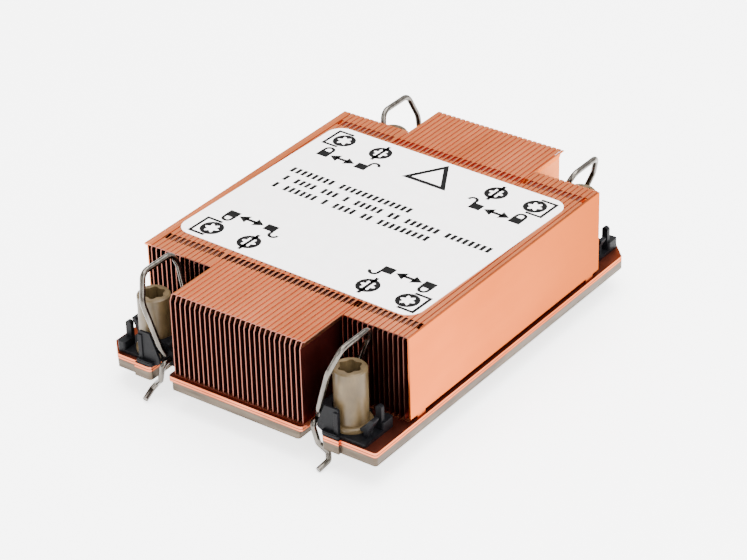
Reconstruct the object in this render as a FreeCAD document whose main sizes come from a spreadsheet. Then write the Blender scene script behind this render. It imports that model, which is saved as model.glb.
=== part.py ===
"""Passive 1U server cpu heatsink with anti-tilt wires and captive nuts (mm, +Z up).

Origin: centre of the copper contact face on the underside.
X runs across the fins, Y runs along the airflow, Z points away from the processor.
"""
import FreeCAD, Part
import math
import os
import Sketcher

V = FreeCAD.Vector
UP = V(0, 0, 1)

DIMS = {
    # plates
    "base_width": 78.0, "base_depth": 108.0, "tongue_half": 18.4, "copper_tongue_half": 19.2,
    "notch_x": 24.55, "notch_y": 44.0, "ear_step_x": 29.3, "ear_y_inner": 53.9,
    "ear_y_outer": 53.2, "ear_chamfer": 4.2, "corner_round": 0.8,
    "contact_proud": 0.15, "carrier_top": 2.3, "seam_z": 2.95, "spreader_top": 3.64,
    "contact_width": 54.0, "contact_depth": 74.0, "contact_round": 3.0, "window_gap": 0.2,
    # fins
    "fin_top": 26.0, "fin_gauge": 0.25, "fin_pitch": 1.41, "fin_gap": 0.05, "fin_lean": 17.4,
    "tongue_curl": 2.4, "tongue_round": 1.0, "tongue_lap": 0.77,
    "wing_curl": 0.9, "wing_round": 0.5, "wing_lap": 0.17, "tongue_fin_count": 27, "tongue_fin_start": -17.9,
    "tongue_fin_depth": 104.8, "tongue_fin_shift": -0.6,
    "wing_fin_depth": 78.2, "left_fin_count": 12, "right_fin_count": 13,
    "right_fin_pitch": 1.37, "slot_y": 33.6, "slot_length": 2.4, "slot_width": 0.75,
    "slot_inset": 0.2, "slot_slant": 0.2, "slot_play": 0.02,
    # side sheets
    "side_sheet_x": -35.9, "side_sheet_lip": 0.85, "panel_face_x": 38.45,
    "panel_gauge": 0.5, "panel_drop": 0.12, "panel_bottom": 4.6, "panel_tab": 3.0,
    "panel_tab_y": 35.0,
    # label
    "label_width": 69.5, "label_depth": 62.0, "label_round": 4.0, "label_gauge": 0.15,
    "label_turn": -1.6, "label_x": 0.5, "label_y": -0.2,
    # nuts
    "bolt_x": 28.0, "bolt_y": 47.0, "nut_body_dia": 7.9, "nut_top": 19.3, "nut_flange_dia": 9.8,
    "nut_flange": 1.3, "nut_spigot_dia": 5.8, "nut_spigot_end": 0.9, "nut_bore_dia": 3.4,
    "nut_bore_top": 10.0, "socket_lobe": 3.15, "socket_waist": 2.2, "socket_depth": 5.0,
    "lobe_round": 0.7, "waist_round": 0.4,
    "nut_chamfer": 0.35, "plate_hole_dia": 6.4,
    # retainers
    "pad_gauge": 0.8, "pad_in": -3.6, "pad_step": 1.1, "pad_out": 7.8,
    "pad_half": 6.7, "pad_front": 5.6, "pad_rear": 5.1, "block_in": -7.7,
    "block_out": -2.8, "block_half": 3.3, "block_top": 9.2, "block_round": 1.2,
    "spigot_clearance": 0.05, "nut_clearance": 0.35, "flange_clearance": 0.25,
    "wall_y": 5.1, "wall_gauge": 0.6, "wall_foot": 0.9, "wall_out": 0.6,
    "front_wall_top": 11.0, "rear_wall_top": 12.0, "groove": 0.3,
    "tab_in": 5.4, "tab_gauge": 1.2, "tab_rear": -1.1, "tab_width": 2.0, "tab_top": 9.4,
    "tab_lean": 1.9, "finger_in": 5.7, "finger_gauge": 1.6, "finger_y": 1.2,
    "finger_width": 1.1, "finger_top": 10.6, "step_in": 5.5, "step_top": 6.4,
    # wires
    "wire_dia": 1.4, "wire_gap": 0.2, "journal_clearance": 0.05, "pivot_x": 21.45,
    "pivot_z": 5.25, "left_lean": 12.5, "right_lean": 20.5, "locked_lean": 22.5,
}

doc = FreeCAD.newDocument("heatsink")
sheet = doc.addObject("Spreadsheet::Sheet", "Dims")
for row, (alias, amount) in enumerate(DIMS.items(), start=1):
    sheet.set("A%d" % row, alias)
    sheet.set("B%d" % row, str(amount))
    sheet.setAlias("B%d" % row, alias)
doc.recompute()


def size(alias):
    """Value of a named dimension."""
    return float(sheet.get(alias))


def number(formula):
    """Value of a formula written over the named dimensions."""
    return float(sheet.evalExpression(str(formula)))


def bound(formula):
    """The same formula written for use outside the sheet."""
    text = str(formula)
    for alias in sorted(DIMS, key=len, reverse=True):
        text = text.replace(alias, "<<%d>>" % list(DIMS).index(alias))
    for place, alias in enumerate(DIMS):
        text = text.replace("<<%d>>" % place, "Dims." + alias)
    return text


def bind(target, **formulas):
    """Drive properties of a feature from the sheet."""
    for prop, formula in formulas.items():
        target.setExpression(prop, bound(formula))


def new_body(label):
    body = doc.addObject("PartDesign::Body", label)
    body.Label = label
    body.AllowCompound = True
    return body


def datum(body, role):
    return [item for item in body.Origin.OriginFeatures if item.Role == role][0]


def new_sketch(body, name, role, offset=None):
    """Empty sketch on one of the body's own origin planes."""
    sketch = body.newObject("Sketcher::SketchObject", name)
    sketch.AttachmentSupport = [(datum(body, role), "")]
    sketch.MapMode = "FlatFace"
    if offset is not None:
        sketch.setExpression("AttachmentOffset.Base.z", bound(offset))
    return sketch


def draw_outline(sketch, corners):
    """Closed outline; each corner is (u, v) or (u, v, radius), all formulas."""
    spots = [V(number(c[0]), number(c[1]), 0) for c in corners]
    count = len(corners)
    ends = []
    for i, corner in enumerate(corners):
        here = spots[i]
        before = (spots[i - 1] - here).normalize()
        after = (spots[(i + 1) % count] - here).normalize()
        if len(corner) == 2:
            ends.append((here, here, None))
            continue
        radius = number(corner[2])
        half = before.getAngle(after) / 2
        reach = radius / math.tan(half)
        middle = here + (before + after).normalize() * (radius / math.sin(half))
        ends.append((here + before * reach, here + after * reach, middle))
    lines = []
    for i in range(count):
        start, end = ends[i][1], ends[(i + 1) % count][0]
        lines.append(sketch.addGeometry(Part.LineSegment(start, end), False))
    for i, corner in enumerate(corners):
        arrive, leave, middle = ends[i]
        line_in, line_out = lines[i - 1], lines[i]
        if middle is None:
            sketch.addConstraint(Sketcher.Constraint("Coincident", line_in, 2, line_out, 1))
            place_point(sketch, line_out, 1, corner)
            continue
        first = math.atan2(arrive.y - middle.y, arrive.x - middle.x)
        last = math.atan2(leave.y - middle.y, leave.x - middle.x)
        turn = (last - first) % (2 * math.pi)
        forward = turn < math.pi
        circle = Part.Circle(middle, UP, number(corner[2]))
        span = (first, first + turn) if forward else (last, last + 2 * math.pi - turn)
        arc = sketch.addGeometry(Part.ArcOfCircle(circle, span[0], span[1]), False)
        near, far = (1, 2) if forward else (2, 1)
        sketch.addConstraint(Sketcher.Constraint("Tangent", line_in, 2, arc, near))
        sketch.addConstraint(Sketcher.Constraint("Tangent", arc, far, line_out, 1))
        tag = sketch.addConstraint(Sketcher.Constraint("Radius", arc, number(corner[2])))
        sketch.setExpression("Constraints[%d]" % tag, bound(corner[2]))
        point = sketch.addGeometry(Part.Point(spots[i]), True)
        sketch.addConstraint(Sketcher.Constraint("PointOnObject", point, 1, line_in))
        sketch.addConstraint(Sketcher.Constraint("PointOnObject", point, 1, line_out))
        place_point(sketch, point, 1, corner)


def place_point(sketch, item, end, corner):
    """Fix one point of a sketch at two formulas measured from the sketch origin."""
    for kind, formula in (("DistanceX", corner[0]), ("DistanceY", corner[1])):
        tag = sketch.addConstraint(
            Sketcher.Constraint(kind, -1, 1, item, end, number(formula)))
        sketch.setExpression("Constraints[%d]" % tag, bound(formula))


def draw_circle(sketch, u, v, diameter):
    """Full circle with its centre and diameter driven by formulas."""
    circle = Part.Circle(V(number(u), number(v), 0), UP, number(diameter) / 2)
    item = sketch.addGeometry(circle, False)
    place_point(sketch, item, 3, (u, v))
    tag = sketch.addConstraint(Sketcher.Constraint("Diameter", item, number(diameter)))
    sketch.setExpression("Constraints[%d]" % tag, bound(diameter))


def pad(body, name, sketch, length, middle=False):
    feature = body.newObject("PartDesign::Pad", name)
    feature.Profile = sketch
    feature.Midplane = middle
    bind(feature, Length=length)
    return feature


def pocket(body, name, sketch, length, upward=False):
    """Cut from the sketch plane, downward unless told otherwise."""
    feature = body.newObject("PartDesign::Pocket", name)
    feature.Profile = sketch
    feature.Reversed = upward
    bind(feature, Length=length)
    return feature


def spin(body, kind, name, sketch, axis_role="Z_Axis"):
    feature = body.newObject("PartDesign::" + kind, name)
    feature.Profile = sketch
    feature.ReferenceAxis = (datum(body, axis_role), [""])
    feature.Angle = 360
    return feature


def box_corners(u0, v0, u1, v1, radius=None):
    tail = () if radius is None else (radius,)
    return [(u0, v0) + tail, (u1, v0) + tail, (u1, v1) + tail, (u0, v1) + tail]


def solid_box(body, name, x0, x1, y0, y1, z0, z1, radius=None):
    """Rectangular boss standing on the height z0."""
    sketch = new_sketch(body, name + "_sketch", "XY_Plane", z0)
    draw_outline(sketch, box_corners(x0, y0, x1, y1, radius))
    return pad(body, name, sketch, "(%s) - (%s)" % (z1, z0))


# ---------------------------------------------------------------- plates
def plate_outline(tongue):
    """Base outline; the back half is the front half turned by 180 degrees."""
    half = "base_width / 2"
    front = [
        ("-" + half, "-(ear_y_outer - ear_chamfer)"),
        ("-(base_width / 2 - ear_chamfer)", "-ear_y_outer"),
        ("-ear_step_x", "-ear_y_outer"),
        ("-ear_step_x", "-ear_y_inner"),
        ("-notch_x", "-ear_y_inner", "corner_round"),
        ("-notch_x", "-notch_y", "corner_round"),
        ("-" + tongue, "-notch_y", "corner_round"),
        ("-" + tongue, "-base_depth / 2", "corner_round"),
        (tongue, "-base_depth / 2", "corner_round"),
        (tongue, "-notch_y", "corner_round"),
        ("notch_x", "-notch_y", "corner_round"),
        ("notch_x", "-ear_y_inner", "corner_round"),
        ("ear_step_x", "-ear_y_inner"),
        ("ear_step_x", "-ear_y_outer"),
        (half, "-ear_y_outer", "corner_round"),
    ]
    back = [("-(%s)" % c[0], "-(%s)" % c[1]) + tuple(c[2:]) for c in front]
    return front + back


def corner_signs():
    """Signs of the four bolt positions with their names."""
    return [("front_left", -1, -1), ("front_right", 1, -1),
            ("rear_left", -1, 1), ("rear_right", 1, 1)]


def make_plate(label, tongue, z0, z1):
    """Flat sheet with the base outline and the four bolt holes."""
    body = new_body(label)
    outline = new_sketch(body, label + "_outline", "XY_Plane", z0)
    draw_outline(outline, plate_outline(tongue))
    pad(body, label + "_sheet", outline, "%s - %s" % (z1, z0))
    holes = new_sketch(body, label + "_holes", "XY_Plane", z1)
    for _, sx, sy in corner_signs():
        draw_circle(holes, "%d * bolt_x" % sx, "%d * bolt_y" % sy, "plate_hole_dia")
    pocket(body, label + "_bolt_holes", holes, "%s - %s" % (z1, z0))
    return body


carrier = make_plate("carrier_plate", "tongue_half", "contact_proud", "carrier_top")
window = new_sketch(carrier, "window_sketch", "XY_Plane", "carrier_top")
draw_outline(window, box_corners(
    "-contact_width / 2 - window_gap", "-contact_depth / 2 - window_gap",
    "contact_width / 2 + window_gap", "contact_depth / 2 + window_gap",
    "contact_round + window_gap"))
pocket(carrier, "contact_window", window, "carrier_top - contact_proud")

lower = make_plate("spreader_lower", "copper_tongue_half", "carrier_top", "seam_z")
pedestal = new_sketch(lower, "pedestal_sketch", "XY_Plane", 0)
draw_outline(pedestal, box_corners("-contact_width / 2", "-contact_depth / 2",
                                   "contact_width / 2", "contact_depth / 2",
                                   "contact_round"))
pad(lower, "contact_pedestal", pedestal, "carrier_top")

make_plate("spreader_upper", "copper_tongue_half", "seam_z", "spreader_top")


# ---------------------------------------------------------------- fins
def bent_fin(body, label, start, pitch, style, tip, depth, shift):
    """One bent sheet fin with its two interlock slots; returns the features."""
    curl, bend = style + "_curl", style + "_round"
    lean = "%s + %s * tan(fin_lean * 1 deg)" % (start, curl)
    inner_drop = "fin_gauge * tan(fin_lean / 2 * 1 deg)"
    inner_step = "fin_gauge * tan((90 - fin_lean) / 2 * 1 deg)"
    foot_tip = "%s + %s - fin_gap" % (start, pitch)
    profile = new_sketch(body, label + "_profile", "XZ_Plane", "-(%s)" % shift)
    draw_outline(profile, [
        (start, "spreader_top"),
        (foot_tip, "spreader_top"),
        (foot_tip, "spreader_top + fin_gauge"),
        (start + " + fin_gauge", "spreader_top + fin_gauge"),
        (start + " + fin_gauge", "fin_top - %s - %s" % (curl, inner_drop)),
        ("%s + %s" % (lean, inner_step), "fin_top - fin_gauge", bend + " - fin_gauge"),
        (tip, "fin_top - fin_gauge"),
        (tip, "fin_top"),
        (lean, "fin_top", bend),
        (start, "fin_top - " + curl),
    ])
    features = [pad(body, label + "_sheet", profile, depth, middle=True)]
    lip = "%s + %s + %s_lap - slot_inset" % (start, pitch, style)
    for name, side in (("front", -1), ("rear", 1)):
        slot = new_sketch(body, "%s_%s_slot" % (label, name), "XY_Plane", "fin_top")
        near = "%d * slot_y - slot_length / 2" % side
        far = "%d * slot_y + slot_length / 2" % side
        draw_outline(slot, [(lip + " - slot_width", near), (lip, near),
                            (lip + " - slot_slant", far),
                            (lip + " - slot_slant - slot_width", far)])
        features.append(pocket(body, "%s_%s_cut" % (label, name), slot,
                               "fin_gauge + slot_play"))
    return features


def make_fins(label, start, pitch, count, style, last_tip, depth, shift="0"):
    """Row of bent sheet fins, each folded over to lap the next one's bend."""
    body = new_body(label)
    tip = "%s + %s + %s_lap" % (start, pitch, style)
    originals = bent_fin(body, label + "_fin", start, pitch, style, tip, depth, shift)
    row = body.newObject("PartDesign::LinearPattern", label + "_row")
    row.Originals = originals
    row.Direction = (datum(body, "X_Axis"), [""])
    bind(row, Occurrences=count + " - 1", Length="(%s - 2) * %s" % (count, pitch))
    body.Tip = row
    last = "%s + (%s - 1) * %s" % (start, count, pitch)
    bent_fin(body, label + "_last", last, pitch, style, last_tip, depth, shift)


LEFT_START = "tongue_fin_start - left_fin_count * fin_pitch"
RIGHT_START = "tongue_fin_start + tongue_fin_count * fin_pitch"
PANEL_INNER = "panel_face_x - panel_gauge"

make_fins("fins_center", "tongue_fin_start", "fin_pitch", "tongue_fin_count", "tongue",
          RIGHT_START + " + wing_lap", "tongue_fin_depth", "tongue_fin_shift")
make_fins("fins_left", LEFT_START, "fin_pitch", "left_fin_count", "wing",
          "tongue_fin_start + tongue_lap", "wing_fin_depth")
make_fins("fins_right", RIGHT_START, "right_fin_pitch", "right_fin_count", "wing",
          PANEL_INNER + " - fin_gap", "wing_fin_depth")

# Left end sheet: its top edge is hemmed outward and laps the first fin.
side = new_body("end_sheet_left")
side_profile = new_sketch(side, "side_profile", "XZ_Plane")
draw_outline(side_profile, [
    ("side_sheet_x + fin_gauge", "spreader_top"),
    ("side_sheet_x + fin_gauge", "fin_top - fin_gauge"),
    (LEFT_START + " + wing_lap", "fin_top - fin_gauge"),
    (LEFT_START + " + wing_lap", "fin_top"),
    ("side_sheet_x + fin_gauge", "fin_top"),
    ("side_sheet_x + fin_gauge / 2", "fin_top - fin_gauge / 2"),
    ("side_sheet_x", "fin_top"),
    ("side_sheet_x - side_sheet_lip", "fin_top", "fin_gauge * 0.8"),
    ("side_sheet_x - side_sheet_lip", "fin_top - 2 * fin_gauge", "fin_gauge * 0.8"),
    ("side_sheet_x", "fin_top - 2 * fin_gauge"),
    ("side_sheet_x", "spreader_top"),
])
pad(side, "side_sheet", side_profile, "wing_fin_depth", middle=True)

panel = new_body("end_panel_right")
panel_profile = new_sketch(panel, "panel_profile", "XZ_Plane")
draw_outline(panel_profile, box_corners(PANEL_INNER, "panel_bottom",
                                        "panel_face_x", "fin_top - panel_drop"))
pad(panel, "panel_sheet", panel_profile, "wing_fin_depth", middle=True)
for tab_name, tab_sign in (("front", -1), ("rear", 1)):
    solid_box(panel, "tab_" + tab_name, PANEL_INNER, "panel_face_x",
              "%d * panel_tab_y - panel_tab / 2" % tab_sign,
              "%d * panel_tab_y + panel_tab / 2" % tab_sign,
              "spreader_top", "panel_bottom + panel_gauge")

label = new_body("label")
label_sketch = new_sketch(label, "label_outline", "XY_Plane")
draw_outline(label_sketch, box_corners("-label_width / 2", "-label_depth / 2",
                                       "label_width / 2", "label_depth / 2", "label_round"))
pad(label, "label_film", label_sketch, "label_gauge")
label.setExpression("Placement.Base.x", bound("label_x"))
label.setExpression("Placement.Base.y", bound("label_y"))
label.setExpression("Placement.Base.z", bound("fin_top"))
label.Placement.Rotation = FreeCAD.Rotation(UP, size("label_turn"))


# ---------------------------------------------------------------- retainers
PAD_TOP = "spreader_top + pad_gauge"


def swing_line(height):
    """Where the side of a fully locked wire, plus its gap, stands at a height."""
    return ("pivot_x - bolt_x + (%s - pivot_z) * tan(locked_lean * 1 deg)"
            " + (wire_dia / 2 + wire_gap) / cos(locked_lean * 1 deg)" % height)


def sorted_pair(side, near, far):
    """Lower and upper bound of a span that lies on one side of the middle."""
    if side < 0:
        return "-(%s)" % far, "-(%s)" % near
    return near, far


def side_wall(body, label, side, top):
    """Upright beside the nut; its inner edge is the stop of the locked wire."""
    face = "-%d * (wall_y + wall_gauge / 2) - wall_gauge / 2" % side
    wall = new_sketch(body, label + "_outline", "XZ_Plane", face)
    low = "pivot_z + wire_dia / 2"
    draw_outline(wall, [
        ("pad_in", "spreader_top"), ("wall_out", "spreader_top"),
        ("wall_out", top, "wall_gauge"), (swing_line(top), top, "wall_gauge"),
        (swing_line(low), low), (swing_line(low), "pivot_z - wire_dia / 2")])
    pad(body, label, wall, "wall_gauge")
    bead = sorted_pair(side, "wall_y", "wall_y + wall_gauge + groove")
    solid_box(body, label + "_bead", "wall_out - 4 * groove", "wall_out", bead[0], bead[1],
              PAD_TOP + " - groove", "%s - 3 * groove" % top, "groove / 2")
    foot = sorted_pair(side, "wall_y", "wall_y + wall_gauge + wall_foot")
    solid_box(body, label + "_foot", "pad_in", "wall_out", foot[0], foot[1],
              "spreader_top", PAD_TOP + " + groove", "groove")


def make_retainer(label, sx, sy):
    """Moulded clip: holds a nut by its flange and carries the wire's journal."""
    body = new_body(label)
    base = new_sketch(body, label + "_pad_sketch", "XY_Plane", "spreader_top")
    draw_outline(base, [
        ("pad_in", "-pad_half", "wall_gauge"), ("pad_step", "-pad_half", "wall_gauge"),
        ("pad_step", "-pad_front", "groove"), ("pad_out", "-pad_front", "wall_gauge"),
        ("pad_out", "pad_rear", "wall_gauge"), ("pad_step", "pad_rear", "groove"),
        ("pad_step", "pad_half", "wall_gauge"), ("pad_in", "pad_half", "wall_gauge")])
    pad(body, label + "_pad", base, "pad_gauge")
    block = new_sketch(body, label + "_block_sketch", "XZ_Plane", "-block_half")
    draw_outline(block, [
        ("block_in", "spreader_top"), ("block_out", "spreader_top"),
        ("block_out", "block_top"),
        ("block_in + block_round", "block_top", "block_round"),
        ("block_in", "pivot_z + block_round", "block_round")])
    pad(body, label + "_block", block, "2 * block_half")
    side_wall(body, label + "_front_wall", -1, "front_wall_top")
    side_wall(body, label + "_rear_wall", 1, "rear_wall_top")
    catch = PAD_TOP + " + nut_flange + slot_play"
    tab = new_sketch(body, label + "_tab_sketch", "XZ_Plane", "-(%s)" % "tab_rear")
    draw_outline(tab, [
        ("tab_in", PAD_TOP + " - groove"), ("tab_in + tab_gauge", PAD_TOP + " - groove"),
        ("tab_in + tab_gauge", catch),
        ("tab_in + tab_gauge + tab_lean", "tab_top", "groove"),
        ("tab_in + tab_lean", "tab_top", "groove"),
        ("tab_in", catch + " + tab_gauge"),
        ("tab_in - 0.7 * tab_gauge", catch + " + tab_gauge / 2"),
        ("tab_in - 0.7 * tab_gauge", catch), ("tab_in", catch)])
    pad(body, label + "_tab", tab, "tab_width")
    finger = new_sketch(body, label + "_finger_sketch", "XZ_Plane",
                        "-(finger_y + finger_width)")
    draw_outline(finger, [
        ("finger_in", PAD_TOP + " - groove"),
        ("finger_in + finger_gauge", PAD_TOP + " - groove"),
        ("finger_in + finger_gauge", "finger_top", "0.45 * finger_gauge"),
        ("finger_in", "finger_top", "0.45 * finger_gauge")])
    pad(body, label + "_finger", finger, "finger_width")
    solid_box(body, label + "_step", "step_in", "pad_out", "finger_y", "pad_rear",
              PAD_TOP + " - groove", "step_top", "wall_gauge")
    seat = new_sketch(body, label + "_seat_sketch", "XY_Plane", PAD_TOP)
    draw_circle(seat, "0", "0", "nut_flange_dia + 2 * flange_clearance")
    pocket(body, label + "_flange_seat", seat, "nut_flange + slot_play", upward=True)
    bore = new_sketch(body, label + "_bore_sketch", "XY_Plane", PAD_TOP)
    draw_circle(bore, "0", "0", "nut_body_dia + 2 * nut_clearance")
    pocket(body, label + "_nut_bore", bore, "nut_top", upward=True)
    hole = new_sketch(body, label + "_hole_sketch", "XY_Plane", PAD_TOP)
    draw_circle(hole, "0", "0", "nut_spigot_dia + 2 * spigot_clearance")
    pocket(body, label + "_spigot_hole", hole, "pad_gauge")
    journal = new_sketch(body, label + "_journal_sketch", "XZ_Plane", "-block_half - 1")
    draw_circle(journal, "pivot_x - bolt_x", "pivot_z", "wire_dia + 2 * journal_clearance")
    pocket(body, label + "_journal_bore", journal, "2 * block_half + 2", upward=True)
    body.setExpression("Placement.Base.x", bound("%d * bolt_x" % sx))
    body.setExpression("Placement.Base.y", bound("%d * bolt_y" % sy))
    if sx < 0:
        body.Placement.Rotation = FreeCAD.Rotation(UP, 180)


# ---------------------------------------------------------------- nuts
def make_nut(label, sx, sy):
    """Captive moulded nut: six-lobe socket above, threaded from below."""
    body = new_body(label)
    profile = new_sketch(body, label + "_profile", "XZ_Plane")
    draw_outline(profile, [
        ("0", "nut_spigot_end"), ("nut_spigot_dia / 2", "nut_spigot_end"),
        ("nut_spigot_dia / 2", PAD_TOP), ("nut_flange_dia / 2", PAD_TOP),
        ("nut_flange_dia / 2", PAD_TOP + " + nut_flange - nut_chamfer"),
        ("nut_flange_dia / 2 - nut_chamfer", PAD_TOP + " + nut_flange"),
        ("nut_body_dia / 2", PAD_TOP + " + nut_flange"),
        ("nut_body_dia / 2", "nut_top - nut_chamfer"),
        ("nut_body_dia / 2 - nut_chamfer", "nut_top"), ("0", "nut_top")])
    spin(body, "Revolution", label + "_turned", profile)
    thread = new_sketch(body, label + "_thread_sketch", "XY_Plane", "nut_spigot_end")
    draw_circle(thread, "0", "0", "nut_bore_dia")
    pocket(body, label + "_threaded_hole", thread, "nut_bore_top - nut_spigot_end",
           upward=True)
    socket = new_sketch(body, label + "_socket_sketch", "XY_Plane", "nut_top")
    corners = []
    for step in range(12):
        reach = "socket_lobe" if step % 2 == 0 else "socket_waist"
        easing = "lobe_round" if step % 2 == 0 else "waist_round"
        corners.append(("%s * cos(%d deg)" % (reach, 30 * step),
                        "%s * sin(%d deg)" % (reach, 30 * step), easing))
    draw_outline(socket, corners)
    pocket(body, label + "_socket", socket, "socket_depth")
    body.setExpression("Placement.Base.x", bound("%d * bolt_x" % sx))
    body.setExpression("Placement.Base.y", bound("%d * bolt_y" % sy))
    return body


# ---------------------------------------------------------------- wires
# Centre line in the handle's own plane: distance along Y from the centre of
# the heatsink, offset outward in X and height above the pivot, bend radius.
HANDLE = [
    (51.3, 0.0, 1.75, 0.0), (52.4, 0.0, 4.3, 4.0), (54.3, 0.0, 16.5, 4.5),
    (51.9, 0.0, 22.95, 2.4), (41.6, 0.0, 22.95, 2.6), (40.4, 0.0, 19.5, 3.0),
    (40.4, 0.0, 0.0, 1.2),
]
FOOT = [(53.0, 0.0, 0.0, 1.1), (52.2, 2.75, -4.8, 1.6), (51.0, 5.3, -6.45, 1.2),
        (51.9, 6.5, -7.6, 1.0), (55.1, 6.3, -8.8, 0.0)]


def bent_wire(points):
    """Line through the given points with an arc at every bend."""
    edges = []
    spot = points[0][0]
    for i in range(1, len(points) - 1):
        corner, radius = points[i]
        before = (points[i - 1][0] - corner).normalize()
        after = (points[i + 1][0] - corner).normalize()
        half = before.getAngle(after) / 2
        reach = radius / math.tan(half)
        arrive = corner + before * reach
        leave = corner + after * reach
        middle = corner + (before + after).normalize() * (radius / math.sin(half) - radius)
        edges.append(Part.makeLine(spot, arrive))
        edges.append(Part.Arc(arrive, middle, leave).toShape())
        spot = leave
    edges.append(Part.makeLine(spot, points[-1][0]))
    return Part.Wire(edges)


def make_bail(label, sx, sy):
    """Anti-tilt wire: handle, journal and hooked foot bent from one wire."""
    lean = math.radians(size("left_lean") if sx < 0 else size("right_lean"))
    points = []
    for along, out, height, radius in HANDLE + FOOT:
        x = out * math.cos(lean) + height * math.sin(lean)
        z = -out * math.sin(lean) + height * math.cos(lean)
        points.append((V(sx * (size("pivot_x") + x), sy * along, size("pivot_z") + z), radius))
    path = bent_wire(points)
    start = points[0][0]
    heading = (points[1][0] - start).normalize()
    section = Part.Wire(Part.Circle(start, heading, size("wire_dia") / 2).toShape())
    pipe = path.makePipeShell([section], True, False)
    bail = doc.addObject("Part::Feature", label)
    bail.Label = label
    bail.Shape = pipe
    return bail


for corner, sign_x, sign_y in corner_signs():
    make_retainer("retainer_" + corner, sign_x, sign_y)
    make_nut("nut_" + corner, sign_x, sign_y)
    make_bail("bail_" + corner, sign_x, sign_y)

doc.recompute()

# ---------------------------------------------------------------- output
os.makedirs("parts", exist_ok=True)
for item in doc.Objects:
    if "Invalid" in item.State or "Error" in item.State:
        raise RuntimeError("%s did not build: %s" % (item.Label, item.State))
for item in doc.Objects:
    is_part = item.TypeId == "PartDesign::Body" or item.TypeId == "Part::Feature"
    if not is_part:
        continue
    if item.Shape.isNull() or not item.Shape.isValid():
        raise RuntimeError("%s has no valid shape" % item.Label)
    item.Shape.exportStep("parts/%s.step" % item.Label)
    print(item.Label, len(item.Shape.Solids), round(item.Shape.Volume, 2))
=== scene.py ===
"""Looks of the passive server cpu heatsink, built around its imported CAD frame.

Lengths are in metres in the frame's axes: X across the fins, Y along them, Z up.
"""

import math

import bmesh
import bpy
from mathutils import Matrix, Vector


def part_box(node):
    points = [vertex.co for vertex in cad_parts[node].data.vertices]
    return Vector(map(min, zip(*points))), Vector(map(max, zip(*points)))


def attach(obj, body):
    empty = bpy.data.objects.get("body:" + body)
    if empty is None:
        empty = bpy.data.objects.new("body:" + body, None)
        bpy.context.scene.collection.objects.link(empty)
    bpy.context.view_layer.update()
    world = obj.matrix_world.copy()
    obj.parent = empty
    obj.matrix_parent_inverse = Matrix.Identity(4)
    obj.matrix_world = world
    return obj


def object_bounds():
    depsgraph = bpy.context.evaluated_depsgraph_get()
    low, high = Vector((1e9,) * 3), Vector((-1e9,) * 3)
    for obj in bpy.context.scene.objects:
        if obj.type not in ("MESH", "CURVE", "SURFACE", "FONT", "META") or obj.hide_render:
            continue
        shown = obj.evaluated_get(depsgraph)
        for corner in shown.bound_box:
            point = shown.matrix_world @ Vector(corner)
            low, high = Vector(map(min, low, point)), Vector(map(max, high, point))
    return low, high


MM = 0.001

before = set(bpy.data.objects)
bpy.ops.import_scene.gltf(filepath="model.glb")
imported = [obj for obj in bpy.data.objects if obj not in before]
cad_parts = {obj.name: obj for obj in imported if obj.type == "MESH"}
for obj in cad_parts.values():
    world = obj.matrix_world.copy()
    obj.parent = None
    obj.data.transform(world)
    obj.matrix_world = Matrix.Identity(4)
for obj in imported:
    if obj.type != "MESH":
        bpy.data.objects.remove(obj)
cad_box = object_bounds()

HEATSINK = "heatsink"
CORNERS = ("front_left", "front_right", "rear_left", "rear_right")

# Camera: where it stands round the object and what it looks at.
CAMERA_AZIMUTH = 36.74
CAMERA_ELEVATION = 31.07
CAMERA_ROLL = -1.64
CAMERA_DISTANCE = 0.6801
CAMERA_SLIDE_RIGHT = -0.0002
CAMERA_SLIDE_UP = 0.0072
SENSOR_WIDTH_MM = 36.0
LENS_MM = 137.0

# Places on the fins: height of the top bend, the slot rows' distance and length.
BEND_HEIGHT = 1.0 * MM
SLOT_ROW = 33.6 * MM
SLOT_LENGTH = 2.4 * MM
LAST_WEB_SHIFT = 0.67 * MM
FOLD_GAUGE = 0.25 * MM
FOLD_MARGIN = 0.05 * MM
WEB_MARGIN = 0.15 * MM
SLOT_MARGIN = 0.1 * MM
SLOT_SKIN = 0.07 * MM
JOINT_WIDTH = 0.2 * MM
SEAM_INSET_LEFT = 1.0 * MM
SEAM_INSET_RIGHT = 1.5 * MM
SEAM_INSET_ENDS = 0.1 * MM

# How far a face may turn from an axis and still count as looking along it.
SQUARE_ON = (0.93, 0.98)
ROUGHLY_ON = (0.8, 0.95)

# Linear colours of the copper, by place; beside the copper's own tones, some are painted shade
# and some painted light, as marked below.
COPPER_EDGE_TINT = (1.0, 0.45, 0.25, 1.0)
# Painted shade: near-black copper for the inner fin webs, where light does not reach between the
# fins.
WEB_PAINTED_SHADE = (0.10, 0.018, 0.014)
# Painted light: a lighter copper for the fold tips, lifting the shade of the grooves between the
# folds.
FOLD_TIP_PAINTED_LIGHT = (0.68, 0.38, 0.27)
CUT_END = (0.20, 0.080, 0.062)
# Painted shade: near-black for what is seen through the slots.
SLOT_PAINTED_SHADE = (0.035, 0.005, 0.004)
# Painted light: a lit, reddish copper for the rear row's slots, in place of the painted shade.
REAR_SLOT_PAINTED_LIGHT = (0.38, 0.046, 0.025)
SHEET_JOINT = (0.10, 0.02, 0.012)
# Painted shade: dark copper for the base's flat faces under the fins.
BASE_FLAT_PAINTED_SHADE = (0.13, 0.032, 0.020)
# Painted shade: the panel's copper fades toward this darker tone at its rear end.
PANEL_REAR_PAINTED_SHADE = (0.33, 0.090, 0.036)

# Rolled or moulded grain: how the noise is stretched along each axis.
EVEN = (1.0, 1.0, 1.0)
CLOUDS = (1.0, 0.5, 1.0)
ALONG_Y = (1.0, 0.05, 1.0)
ALONG_PANEL = (1.0, 0.04, 1.0)
LAYERED = (1.0, 1.0, 6.0)

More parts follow.
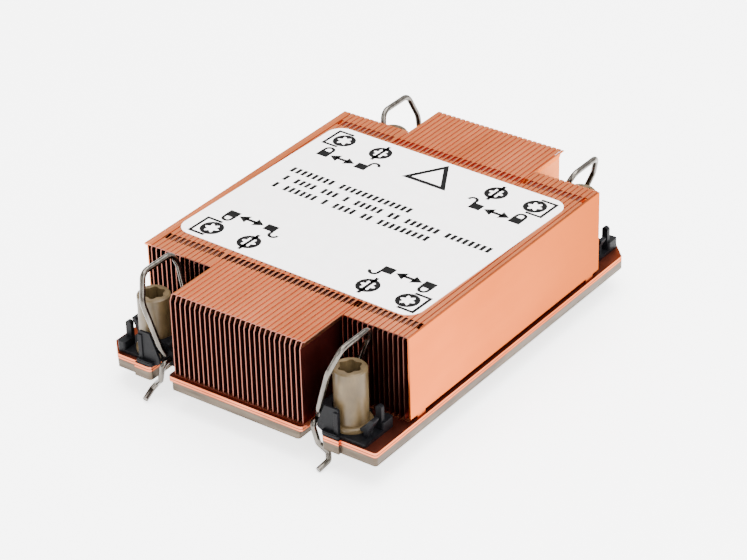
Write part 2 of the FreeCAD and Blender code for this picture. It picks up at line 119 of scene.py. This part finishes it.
# Label print in millimetres, from the label's centre in its own turned axes.
LABEL_TURN = math.radians(-1.6)
INK_LIFT = 0.02 * MM
RING_STEPS = 72
RING_RADIUS = 2.9
STAR_WAIST = 1.15
STAR_SWELL = 0.8
BRACKET_REACH = 3.9
BRACKET_BACK = 0.4
BRACKET_HALF = 3.4
BRACKET_LINE = 0.8
DRIVER_HALF = 3.8
DRIVER_LINE = 0.9
ARROW_SHAFT = 2.0
ARROW_LINE = 0.95
ARROW_TIP = 3.7
ARROW_HEAD_START = 1.1
ARROW_HEAD_HALF = 1.6
LOCK_HALF_WIDTH = 1.6
LOCK_HALF_HEIGHT = 1.3
SHACKLE_SWING = 2.45
SHACKLE_RADIUS = 1.15
SHACKLE_RISE = 0.7
SHACKLE_SINK = 0.2
SHACKLE_LINE = 0.8
NUT_MARK = (28.4, 25.5)
DRIVER_MARK = (17.2, 25.5)
LOCKED_MARK = (28.5, 17.6)
ARROW_MARK = (22.9, 17.6)
OPEN_MARK = (17.0, 17.6)
CORNER_SETS = ((-1, 1, (0.0, 0.0)), (1, 1, (0.1, 0.0)),
               (-1, -1, (1.0, -0.5)), (1, -1, (0.95, 0.0)))
SIGN_CORNERS = [(-5.2, 20.0), (5.6, 20.0), (0.2, 28.9)]
SIGN_LINE = 1.2
BLOCK_HALF = 1.2
BLOCK_LINE = 1.0
BLOCK_PITCH = 1.66
PRINT_LINES = ((7.0, (8, 13), -29.5), (2.8, (1, 4, 3, 1, 5, 2, 6, 8), -28.4),
               (-1.2, (1, 6, 1, 4, 2, 9), -28.4))

# Stage: floor, world and softboxes (name, place, target, width, depth, power).
FLOOR_REACH = 3.0
FLOOR_GLOW = 2.4
WORLD_STRENGTH = 1.5
WHITE = (1.0, 1.0, 1.0, 1.0)
SOFTBOXES = (("top_softbox", (0.1, 0.1, 0.9), (0, 0, 0), 1.0, 1.0, 34.0),
             ("right_softbox", (0.8, -0.35, 0.45), (0, 0, 0.01), 0.7, 0.6, 9.0),
             ("front_softbox", (-0.35, -0.8, 0.45), (0, 0, 0.01), 0.6, 0.5, 3.0))


# ------------------------------------------------------------------ materials
def new_material(name, roughness, metallic=0.0):
    """Principled material; returns the material, its node tree and its shader."""
    material = bpy.data.materials.new(name)
    material.use_nodes = True
    tree = material.node_tree
    shader = tree.nodes["Principled BSDF"]
    shader.inputs["Metallic"].default_value = metallic
    shader.inputs["Roughness"].default_value = roughness
    return material, tree, shader


def mapped_noise(tree, stretch, scale, detail=4.0):
    """Noise over the object's own coordinates, stretched along an axis."""
    coordinates = tree.nodes.new("ShaderNodeTexCoord")
    mapping = tree.nodes.new("ShaderNodeMapping")
    mapping.inputs["Scale"].default_value = stretch
    noise = tree.nodes.new("ShaderNodeTexNoise")
    noise.inputs["Scale"].default_value = scale
    noise.inputs["Detail"].default_value = detail
    tree.links.new(coordinates.outputs["Object"], mapping.inputs["Vector"])
    tree.links.new(mapping.outputs["Vector"], noise.inputs["Vector"])
    return noise


def colour_from(tree, source, stops):
    """Colour ramp driven by a texture; stops are (place, linear colour)."""
    ramp = tree.nodes.new("ShaderNodeValToRGB")
    while len(ramp.color_ramp.elements) < len(stops):
        ramp.color_ramp.elements.new(0.5)
    for element, (place, colour) in zip(ramp.color_ramp.elements, stops):
        element.position = place
        element.color = (*colour, 1.0)
    tree.links.new(source, ramp.inputs["Fac"])
    return ramp.outputs["Color"]


def bump_from(tree, shader, source, strength, distance):
    """Fine relief of the shader from a texture."""
    bump = tree.nodes.new("ShaderNodeBump")
    bump.inputs["Strength"].default_value = strength
    bump.inputs["Distance"].default_value = distance
    tree.links.new(source, bump.inputs["Height"])
    tree.links.new(bump.outputs["Normal"], shader.inputs["Normal"])


def roughness_from(tree, shader, source, low, high):
    """Roughness of the shader between two values, from a texture."""
    spread = tree.nodes.new("ShaderNodeMapRange")
    spread.inputs["To Min"].default_value = low
    spread.inputs["To Max"].default_value = high
    tree.links.new(source, spread.inputs["Value"])
    tree.links.new(spread.outputs["Result"], shader.inputs["Roughness"])


def math_node(tree, operation, first, second=None):
    """Result of one sum; each input is a plain number or another node's output."""
    node = tree.nodes.new("ShaderNodeMath")
    node.operation = operation
    for slot, value in enumerate((first, second)):
        if value is None:
            continue
        if isinstance(value, float):
            node.inputs[slot].default_value = value
        else:
            tree.links.new(value, node.inputs[slot])
    return node.outputs["Value"]


def split_axes(tree, output):
    """X, Y and Z of one of the surface's own vectors."""
    surface = tree.nodes.new("ShaderNodeNewGeometry")
    split = tree.nodes.new("ShaderNodeSeparateXYZ")
    tree.links.new(surface.outputs[output], split.inputs["Vector"])
    return split.outputs


def tint(tree, tone, factor, colour):
    """Blend a tone toward one plain colour by a factor."""
    mix = tree.nodes.new("ShaderNodeMixRGB")
    mix.inputs["Color2"].default_value = (*colour, 1.0)
    tree.links.new(factor, mix.inputs["Fac"])
    tree.links.new(tone, mix.inputs["Color1"])
    return mix.outputs["Color"]


def facing(tree, axis, low, high):
    """Rises to one where the surface looks along an axis, either way."""
    step = tree.nodes.new("ShaderNodeMapRange")
    step.interpolation_type = "SMOOTHSTEP"
    step.inputs["From Min"].default_value = low
    step.inputs["From Max"].default_value = high
    reach = math_node(tree, "ABSOLUTE", split_axes(tree, "True Normal")[axis])
    tree.links.new(reach, step.inputs["Value"])
    return step.outputs["Result"]


def seam_line(tree, height, width):
    """One within half a width of a height, nothing elsewhere."""
    off = math_node(tree, "SUBTRACT", split_axes(tree, "Position")["Z"], height)
    return math_node(tree, "LESS_THAN", math_node(tree, "ABSOLUTE", off), width / 2)


def copper(name, light, dark, stretch, low, high):
    """Bare copper sheet: cloudy tone, rolled grain along one axis."""
    material, tree, shader = new_material(name, low, metallic=1.0)
    clouds = mapped_noise(tree, CLOUDS, scale=60.0, detail=3.0)
    tone = colour_from(tree, clouds.outputs["Fac"], [(0.3, dark), (0.7, light)])
    tree.links.new(tone, shader.inputs["Base Color"])
    shader.inputs["Specular Tint"].default_value = COPPER_EDGE_TINT
    grain = mapped_noise(tree, stretch, scale=400.0, detail=5.0)
    roughness_from(tree, shader, grain.outputs["Fac"], low, high)
    bump_from(tree, shader, grain.outputs["Fac"], strength=0.12, distance=0.02 * MM)
    return material, tree, shader, tone


def fin_material():
    """Copper fins: painted shade on the inner webs and in the front row's slots, painted light
    on the fold tips and in the rear row's slots, dull cut ends.
    """
    material, tree, shader, tone = copper("copper_fin", (0.60, 0.215, 0.105),
                                          (0.47, 0.15, 0.068), ALONG_Y, 0.30, 0.46)
    low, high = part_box("fins_center")
    place = split_axes(tree, "Position")
    below_bend = math_node(tree, "LESS_THAN", place["Z"], high[2] - BEND_HEIGHT)
    beyond_wing = math_node(tree, "GREATER_THAN", place["Y"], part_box("fins_left")[1][1])
    off_middle = math_node(tree, "SUBTRACT", place["X"], (low[0] + high[0]) / 2 - LAST_WEB_SHIFT)
    outermost = math_node(tree, "GREATER_THAN", math_node(tree, "ABSOLUTE", off_middle),
                          (high[0] - low[0]) / 2 - LAST_WEB_SHIFT - WEB_MARGIN)
    open_side = math_node(tree, "MULTIPLY", beyond_wing, outermost)
    hidden_side = math_node(tree, "SUBTRACT", 1.0, open_side)
    # Painted shade: inner webs below the top bend, away from the open sides, take a near-black
    # tone.
    inner_face = math_node(tree, "MULTIPLY", facing(tree, "X", *SQUARE_ON), hidden_side)
    web_painted_shade = math_node(tree, "MULTIPLY", inner_face, below_bend)
    tone = tint(tree, tone, web_painted_shade, WEB_PAINTED_SHADE)
    # Painted light: the same faces just under the top take a lighter tone.
    above_bend = math_node(tree, "GREATER_THAN", place["Z"], high[2] - FOLD_GAUGE - FOLD_MARGIN)
    fold_tip_painted_light = math_node(tree, "MULTIPLY", inner_face, above_bend)
    tone = tint(tree, tone, fold_tip_painted_light, FOLD_TIP_PAINTED_LIGHT)
    tone = tint(tree, tone, facing(tree, "Y", *ROUGHLY_ON), CUT_END)
    # Painted shade: faces below the top within the slot rows turn near black.
    from_slot = math_node(tree, "SUBTRACT", math_node(tree, "ABSOLUTE", place["Y"]), SLOT_ROW)
    in_row = math_node(tree, "LESS_THAN", math_node(tree, "ABSOLUTE", from_slot),
                       SLOT_LENGTH / 2 + SLOT_MARGIN)
    below_top = math_node(tree, "LESS_THAN", place["Z"], high[2] - SLOT_SKIN)
    in_slot = math_node(tree, "MULTIPLY", in_row, below_top)
    tone = tint(tree, tone, in_slot, SLOT_PAINTED_SHADE)
    # Painted light: the rear row's slots take a lit reddish tone instead.
    at_rear = math_node(tree, "GREATER_THAN", place["Y"], 0.0)
    tone = tint(tree, tone, math_node(tree, "MULTIPLY", in_slot, at_rear), REAR_SLOT_PAINTED_LIGHT)
    tree.links.new(tone, shader.inputs["Base Color"])
    return material


def slit_shade_material():
    """Painted shade: dark copper tone for the sheet seen in the slits between neighbouring
    folds.
    """
    material, tree, shader = new_material("copper_painted_shade", 0.6, metallic=0.5)
    clouds = mapped_noise(tree, CLOUDS, scale=60.0, detail=3.0)
    tone = colour_from(tree, clouds.outputs["Fac"],
                       [(0.3, (0.09, 0.036, 0.024)), (0.7, (0.15, 0.06, 0.04))])
    tree.links.new(tone, shader.inputs["Base Color"])
    return material


def base_material():
    """The two copper sheets of the base, with dark joints between the layers and painted shade
    on the faces that look up or down.
    """
    material, tree, shader, tone = copper("copper_base", (0.62, 0.20, 0.105),
                                          (0.42, 0.11, 0.052), LAYERED, 0.30, 0.46)
    upper_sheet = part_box("spreader_upper")[0][2]
    carrier_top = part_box("carrier_plate")[1][2]
    for height in (upper_sheet, carrier_top):
        tone = tint(tree, tone, seam_line(tree, height, JOINT_WIDTH), SHEET_JOINT)
    # Painted shade on the faces that look up or down.
    tone = tint(tree, tone, facing(tree, "Z", *ROUGHLY_ON), BASE_FLAT_PAINTED_SHADE)
    tree.links.new(tone, shader.inputs["Base Color"])
    return material


def panel_material():
    """Flat side panel, with painted shade that makes its copper a little darker toward the rear.
    """
    material, tree, shader, tone = copper("copper_panel", (0.60, 0.150, 0.048),
                                          (0.47, 0.110, 0.034), ALONG_PANEL, 0.30, 0.42)
    low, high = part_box("end_panel_right")
    # Painted shade: darker from the panel's front end to its rear end.
    rear_shade_fade = tree.nodes.new("ShaderNodeMapRange")
    rear_shade_fade.inputs["From Min"].default_value = low[1]
    rear_shade_fade.inputs["From Max"].default_value = high[1]
    tree.links.new(split_axes(tree, "Position")["Y"], rear_shade_fade.inputs["Value"])
    tone = tint(tree, tone, rear_shade_fade.outputs["Result"], PANEL_REAR_PAINTED_SHADE)
    tree.links.new(tone, shader.inputs["Base Color"])
    return material


def carrier_material():
    """Satin grey nickel plate with a layered mottle and a fine grain."""
    material, tree, shader = new_material("carrier_grey", 0.45, metallic=0.9)
    clouds = mapped_noise(tree, LAYERED, scale=90.0, detail=6.0)
    tone = colour_from(tree, clouds.outputs["Fac"],
                       [(0.35, (0.05, 0.037, 0.026)), (0.65, (0.10, 0.078, 0.057))])
    tree.links.new(tone, shader.inputs["Base Color"])
    grain = mapped_noise(tree, (1.0, 1.0, 12.0), scale=700.0)
    roughness_from(tree, shader, grain.outputs["Fac"], 0.36, 0.55)
    bump_from(tree, shader, grain.outputs["Fac"], strength=0.2, distance=0.02 * MM)
    return material


def label_material():
    """White printed film with a faint mottle."""
    material, tree, shader = new_material("label_film", 0.5)
    fibres = mapped_noise(tree, EVEN, scale=300.0, detail=6.0)
    tone = colour_from(tree, fibres.outputs["Fac"],
                       [(0.3, (0.94, 0.905, 0.90)), (0.7, (0.98, 0.95, 0.945))])
    tree.links.new(tone, shader.inputs["Base Color"])
    bump_from(tree, shader, fibres.outputs["Fac"], strength=0.05, distance=0.01 * MM)
    return material


def ink_material():
    """Black print, slightly uneven."""
    material, tree, shader = new_material("label_ink", 0.7)
    shader.inputs["Specular IOR Level"].default_value = 0.05
    grains = mapped_noise(tree, EVEN, scale=900.0)
    tone = colour_from(tree, grains.outputs["Fac"],
                       [(0.3, (0.002, 0.002, 0.002)), (0.8, (0.006, 0.006, 0.006))])
    tree.links.new(tone, shader.inputs["Base Color"])
    return material


def retainer_material():
    """Black moulded nylon with a fine mould grain."""
    material, tree, shader = new_material("retainer_black", 0.45)
    grains = mapped_noise(tree, EVEN, scale=1500.0)
    tone = colour_from(tree, grains.outputs["Fac"],
                       [(0.3, (0.0015, 0.0015, 0.002)), (0.8, (0.005, 0.005, 0.006))])
    tree.links.new(tone, shader.inputs["Base Color"])
    roughness_from(tree, shader, grains.outputs["Fac"], 0.38, 0.55)
    bump_from(tree, shader, grains.outputs["Fac"], strength=0.25, distance=0.02 * MM)
    shader.inputs["Specular IOR Level"].default_value = 0.08
    return material


def nut_material():
    """Cream engineering plastic with darker flow marks."""
    material, tree, shader = new_material("nut_beige", 0.42)
    flow = mapped_noise(tree, (1.0, 1.0, 0.6), scale=220.0, detail=5.0)
    tone = colour_from(tree, flow.outputs["Fac"],
                       [(0.28, (0.038, 0.024, 0.009)), (0.6, (0.085, 0.057, 0.025)),
                        (0.8, (0.14, 0.10, 0.048))])
    tree.links.new(tone, shader.inputs["Base Color"])
    roughness_from(tree, shader, flow.outputs["Fac"], 0.34, 0.5)
    bump_from(tree, shader, flow.outputs["Fac"], strength=0.15, distance=0.03 * MM)
    shader.inputs["Specular IOR Level"].default_value = 0.3
    return material


def wire_material():
    """Drawn spring wire with faint die lines."""
    material, tree, shader = new_material("wire_steel", 0.28, metallic=1.0)
    lines = mapped_noise(tree, (1.0, 1.0, 0.15), scale=900.0)
    tone = colour_from(tree, lines.outputs["Fac"],
                       [(0.3, (0.055, 0.049, 0.042)), (0.7, (0.14, 0.128, 0.112))])
    tree.links.new(tone, shader.inputs["Base Color"])
    roughness_from(tree, shader, lines.outputs["Fac"], 0.16, 0.3)
    bump_from(tree, shader, lines.outputs["Fac"], strength=0.1, distance=0.01 * MM)
    return material


def floor_material():
    """Plain pale floor with a barely visible mottle."""
    material, tree, shader = new_material("floor_pale", 0.7)
    clouds = mapped_noise(tree, EVEN, scale=8.0)
    tone = colour_from(tree, clouds.outputs["Fac"],
                       [(0.3, (0.93, 0.93, 0.93)), (0.7, (0.95, 0.95, 0.95))])
    tree.links.new(tone, shader.inputs["Base Color"])
    shader.inputs["Emission Color"].default_value = WHITE
    shader.inputs["Emission Strength"].default_value = FLOOR_GLOW
    return material


def dress_nodes():
    """Give every carried-over CAD node its finish."""
    fins = fin_material()
    base = base_material()
    side = copper("copper_side", (0.60, 0.19, 0.085), (0.48, 0.14, 0.06),
                  ALONG_Y, 0.30, 0.46)[0]
    panel = panel_material()
    finishes = {
        "carrier_plate": carrier_material(),
        "spreader_lower": base, "spreader_upper": base,
        "fins_center": fins, "fins_left": fins, "fins_right": fins,
        "end_sheet_left": side, "end_panel_right": panel,
        "label": label_material(),
    }
    for kind, finish in (("retainer_", retainer_material()), ("nut_", nut_material()),
                         ("bail_", wire_material())):
        for corner in CORNERS:
            finishes[kind + corner] = finish
    for node, finish in finishes.items():
        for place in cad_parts[node].material_slots:
            place.material = finish


# ------------------------------------------------------------------ label print
class Print:
    """Flat ink shapes drawn in millimetres on the label."""

    def __init__(self):
        self.mesh = bmesh.new()

    def fill(self, points):
        """One flat face through the points."""
        self.mesh.faces.new([self.mesh.verts.new((x * MM, y * MM, 0.0)) for x, y in points])

    def stroke(self, points, width, closed=False):
        """Band of even width along a line of points, joined at each corner."""
        count = len(points)
        sides = []
        for i, point in enumerate(points):
            here = Vector(point)
            before = Vector(points[i - 1]) if closed or i > 0 else None
            after = Vector(points[(i + 1) % count]) if closed or i < count - 1 else None
            arrive = (here - before).normalized() if before is not None else None
            leave = (after - here).normalized() if after is not None else None
            arrive = arrive or leave
            leave = leave or arrive
            across = Vector((-(arrive + leave).y, (arrive + leave).x)).normalized()
            reach = width / 2 / max(0.4, across.dot(Vector((-leave.y, leave.x))))
            sides.append((here + across * reach, here - across * reach))
        last = count if closed else count - 1
        for i in range(last):
            a, b = sides[i], sides[(i + 1) % count]
            self.fill([a[0], b[0], b[1], a[1]])

    def arc(self, centre, radius, start, end, width):
        """Band along an arc, from one angle in degrees to another."""
        steps = max(8, int(abs(end - start) / 12))
        points = []
        for i in range(steps + 1):
            angle = math.radians(start + (end - start) * i / steps)
            points.append((centre[0] + radius * math.cos(angle),
                           centre[1] + radius * math.sin(angle)))
        self.stroke(points, width)

    def socket_ring(self, centre):
        """Nut seen from above: dark ring with a six-point opening."""
        outer, inner = [], []
        for i in range(RING_STEPS):
            angle = 2 * math.pi * i / RING_STEPS
            wave = 0.5 + 0.5 * math.cos(6 * angle)
            reach = STAR_WAIST + STAR_SWELL * wave
            outer.append((centre[0] + RING_RADIUS * math.cos(angle),
                          centre[1] + RING_RADIUS * math.sin(angle)))
            inner.append((centre[0] + reach * math.cos(angle),
                          centre[1] + reach * math.sin(angle)))
        for i in range(RING_STEPS):
            j = (i + 1) % RING_STEPS
            self.fill([outer[i], outer[j], inner[j], inner[i]])

    def bracket(self, centre, side):
        """Three sides of a frame round a nut mark, closed on its outer side."""
        x0, x1 = centre[0] + side * BRACKET_REACH, centre[0] - side * BRACKET_BACK
        y0, y1 = centre[1] - BRACKET_HALF, centre[1] + BRACKET_HALF
        self.stroke([(x1, y0), (x0, y0), (x0, y1), (x1, y1)], BRACKET_LINE)

    def driver_mark(self, centre):
        """Nut mark with a line across it."""
        x, y = centre
        self.socket_ring(centre)
        self.stroke([(x, y - DRIVER_HALF), (x, y + DRIVER_HALF)], DRIVER_LINE)

    def arrow(self, centre):
        """Shaft with a head at both ends."""
        x, y = centre
        self.stroke([(x - ARROW_SHAFT, y), (x + ARROW_SHAFT, y)], ARROW_LINE)
        for side in (-1, 1):
            neck = x + side * ARROW_HEAD_START
            self.fill([(x + side * ARROW_TIP, y), (neck, y + ARROW_HEAD_HALF),
                       (neck, y - ARROW_HEAD_HALF)])

    def padlock(self, centre, up, open_side=0):
        """Filled body with a shackle on its up side, swung to one side when open."""
        x, y = centre
        left, right = x - LOCK_HALF_WIDTH, x + LOCK_HALF_WIDTH
        low, high = y - LOCK_HALF_HEIGHT, y + LOCK_HALF_HEIGHT
        self.fill([(left, low), (right, low), (right, high), (left, high)])
        top = y + up * LOCK_HALF_HEIGHT
        middle = x + open_side * SHACKLE_SWING
        spring = top + up * SHACKLE_RISE
        sunk = top - up * SHACKLE_SINK
        turn = 180 * (up < 0)
        self.arc((middle, spring), SHACKLE_RADIUS, turn, turn + 180, SHACKLE_LINE)
        if open_side <= 0:
            leg = middle + SHACKLE_RADIUS
            self.stroke([(leg, spring), (leg, sunk)], SHACKLE_LINE)
        if open_side >= 0:
            leg = middle - SHACKLE_RADIUS
            self.stroke([(leg, spring), (leg, sunk)], SHACKLE_LINE)

    def corner_marks(self, side, up, shift):
        """One corner's set: bracketed nut, driver mark and the lock row."""
        def place(mark):
            return (side * mark[0] + shift[0], up * mark[1] + shift[1])

        self.socket_ring(place(NUT_MARK))
        self.bracket(place(NUT_MARK), side)
        self.driver_mark(place(DRIVER_MARK))
        self.padlock(place(LOCKED_MARK), up)
        self.arrow(place(ARROW_MARK))
        self.padlock(place(OPEN_MARK), up, open_side=-side)

    def word_blocks(self, y, words, start):
        """Row of plain blocks, grouped like words, standing for a line of print."""
        x = start
        for length in words:
            for _ in range(length):
                self.stroke([(x, y - BLOCK_HALF), (x, y + BLOCK_HALF)], BLOCK_LINE)
                x += BLOCK_PITCH
            x += BLOCK_PITCH

    def finish(self, name, material, base):
        """Turn the shapes face up, place them and hand them to the frame."""
        data = bpy.data.meshes.new(name)
        bmesh.ops.recalc_face_normals(self.mesh, faces=self.mesh.faces)
        for face in self.mesh.faces:
            if face.normal.z < 0:
                face.normal_flip()
        self.mesh.transform(base)
        self.mesh.to_mesh(data)
        piece = bpy.data.objects.new(name, data)
        bpy.context.scene.collection.objects.link(piece)
        data.materials.append(material)
        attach(piece, HEATSINK)
        return piece


def print_label():
    """Generic pictograms and plain blocks on the label."""
    low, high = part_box("label")
    centre = (Vector(low) + Vector(high)) / 2
    base = (Matrix.Translation((centre.x, centre.y, high[2] + INK_LIFT))
            @ Matrix.Rotation(LABEL_TURN, 4, "Z"))
    ink = Print()
    for side, up, shift in CORNER_SETS:
        ink.corner_marks(side, up, shift)
    ink.stroke(SIGN_CORNERS, SIGN_LINE, closed=True)
    for y, words, start in PRINT_LINES:
        ink.word_blocks(y, words, start)
    ink.finish("label_print", ink_material(), base)


def add_painted_slit_shade(finish):
    """Painted shade: a dark sheet just under the folded tops, seen in the slits between the
    folds, where there is only shade.
    """
    stacks = [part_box(node) for node in ("fins_center", "fins_left", "fins_right")]
    height = stacks[0][1][2] - FOLD_GAUGE - FOLD_MARGIN
    corners, faces = [], []
    for low, high in stacks:
        x0, x1 = low[0] + SEAM_INSET_LEFT, high[0] - SEAM_INSET_RIGHT
        y0, y1 = low[1] + SEAM_INSET_ENDS, high[1] - SEAM_INSET_ENDS
        first = len(corners)
        corners += [(x0, y0, height), (x1, y0, height), (x1, y1, height), (x0, y1, height)]
        faces.append(tuple(range(first, first + 4)))
    data = bpy.data.meshes.new("fin_slit_painted_shade")
    data.from_pydata(corners, [], faces)
    backing = bpy.data.objects.new("fin_slit_painted_shade", data)
    bpy.context.scene.collection.objects.link(backing)
    data.materials.append(finish)
    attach(backing, HEATSINK)


# ------------------------------------------------------------------ stage
def add_floor(height):
    """Flat square of floor under the lowest point of the object."""
    data = bpy.data.meshes.new("floor")
    reach = FLOOR_REACH
    data.from_pydata([(-reach, -reach, height), (reach, -reach, height),
                      (reach, reach, height), (-reach, reach, height)], [], [(0, 1, 2, 3)])
    floor = bpy.data.objects.new("floor", data)
    bpy.context.scene.collection.objects.link(floor)
    data.materials.append(floor_material())


def add_area(name, place, target, width, depth, power):
    """Rectangular softbox looking at a target."""
    data = bpy.data.lights.new(name, "AREA")
    data.shape = "RECTANGLE"
    data.size = width
    data.size_y = depth
    data.energy = power
    lamp = bpy.data.objects.new(name, data)
    lamp.location = place
    lamp.rotation_euler = (Vector(target) - Vector(place)).to_track_quat("-Z", "Y").to_euler()
    bpy.context.scene.collection.objects.link(lamp)


def add_lights():
    """Even white world and the softboxes."""
    world = bpy.data.worlds.new("studio")
    world.use_nodes = True
    background = world.node_tree.nodes["Background"]
    background.inputs["Color"].default_value = WHITE
    background.inputs["Strength"].default_value = WORLD_STRENGTH
    bpy.context.scene.world = world
    for softbox in SOFTBOXES:
        add_area(*softbox)


def add_camera():
    """Camera round the object at the photograph's angle, with its small roll."""
    azimuth = math.radians(CAMERA_AZIMUTH)
    elevation = math.radians(CAMERA_ELEVATION)
    roll = math.radians(CAMERA_ROLL)
    back = Vector((math.sin(azimuth) * math.cos(elevation),
                   -math.cos(azimuth) * math.cos(elevation), math.sin(elevation)))
    level = Vector((math.cos(azimuth), math.sin(azimuth), 0.0))
    rise = back.cross(level)
    right = level * math.cos(roll) + rise * math.sin(roll)
    up = rise * math.cos(roll) - level * math.sin(roll)
    place = right * CAMERA_SLIDE_RIGHT + up * CAMERA_SLIDE_UP + back * CAMERA_DISTANCE
    turn = Matrix((right, up, back)).transposed().to_4x4()
    data = bpy.data.cameras.new("camera")
    data.sensor_width = SENSOR_WIDTH_MM
    data.lens = LENS_MM
    camera = bpy.data.objects.new("camera", data)
    camera.matrix_world = Matrix.Translation(place) @ turn
    bpy.context.scene.collection.objects.link(camera)
    bpy.context.scene.camera = camera


dress_nodes()
print_label()
# Painted shade: dark sheet under the fin tops, seen through the slits.
add_painted_slit_shade(slit_shade_material())
add_floor(cad_box[0][2])
add_lights()
add_camera()
